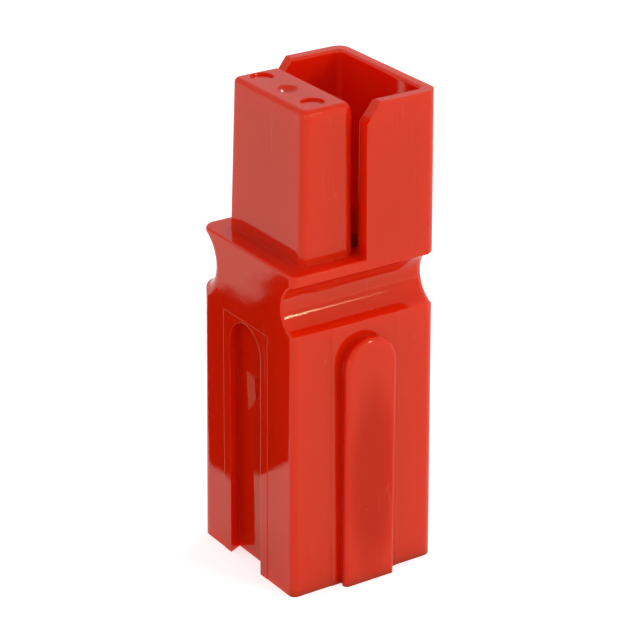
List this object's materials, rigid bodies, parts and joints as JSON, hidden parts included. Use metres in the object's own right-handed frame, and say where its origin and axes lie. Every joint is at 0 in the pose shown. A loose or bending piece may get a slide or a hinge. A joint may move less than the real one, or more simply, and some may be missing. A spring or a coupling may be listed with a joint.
{
  "type": "connector housing",
  "caption": "Single-pole stackable power connector housing: a square red body with an offset finger and open hood, dovetail sides and pin channels.",
  "frame": {"origin": "centre of the wire entry bore in the plane of the rear face", "axes": "+Z along the bore to the mating end, +X towards the hood, -X towards the finger; x = 0 is the mating plane"},
  "size_m": [0.0175, 0.0175, 0.0474],
  "materials": {
    "housing_red": "gloss",
    "spring_steel": "satin"
  },
  "bodies": {
    "root": {"housing": "housing_red", "contact_spring": "spring_steel"}
  },
  "joints": []
}
